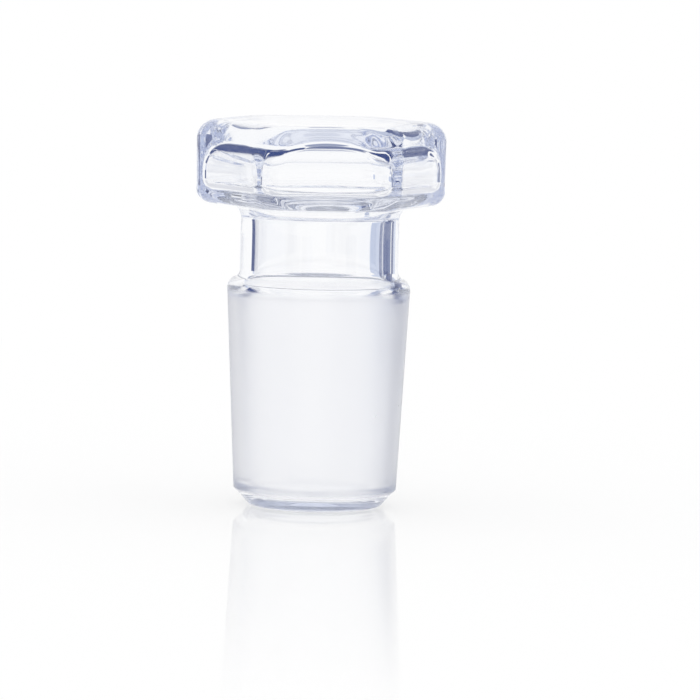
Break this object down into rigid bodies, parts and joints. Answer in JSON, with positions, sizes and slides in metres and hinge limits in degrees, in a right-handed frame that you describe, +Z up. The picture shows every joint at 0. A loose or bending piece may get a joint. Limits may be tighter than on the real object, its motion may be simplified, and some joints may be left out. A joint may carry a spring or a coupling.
{
  "type": "glass stopper",
  "caption": "Hollow clear glass stopper with a six-sided head, a waisted neck and a matt ground taper for sealing a laboratory flask or bottle.",
  "frame": {"origin": "centre of the flat foot that the stopper stands on, on its axis", "axes": "+Z up along the axis, from the foot to the head; -Y square out of one flat side of the head, +X through one of its corners"},
  "size_m": [0.0402, 0.0362, 0.0616],
  "materials": {
    "clear_glass": "clear, fire-polished; matt ground on the taper"
  },
  "bodies": {
    "root": {"stopper": "clear_glass"}
  },
  "joints": []
}
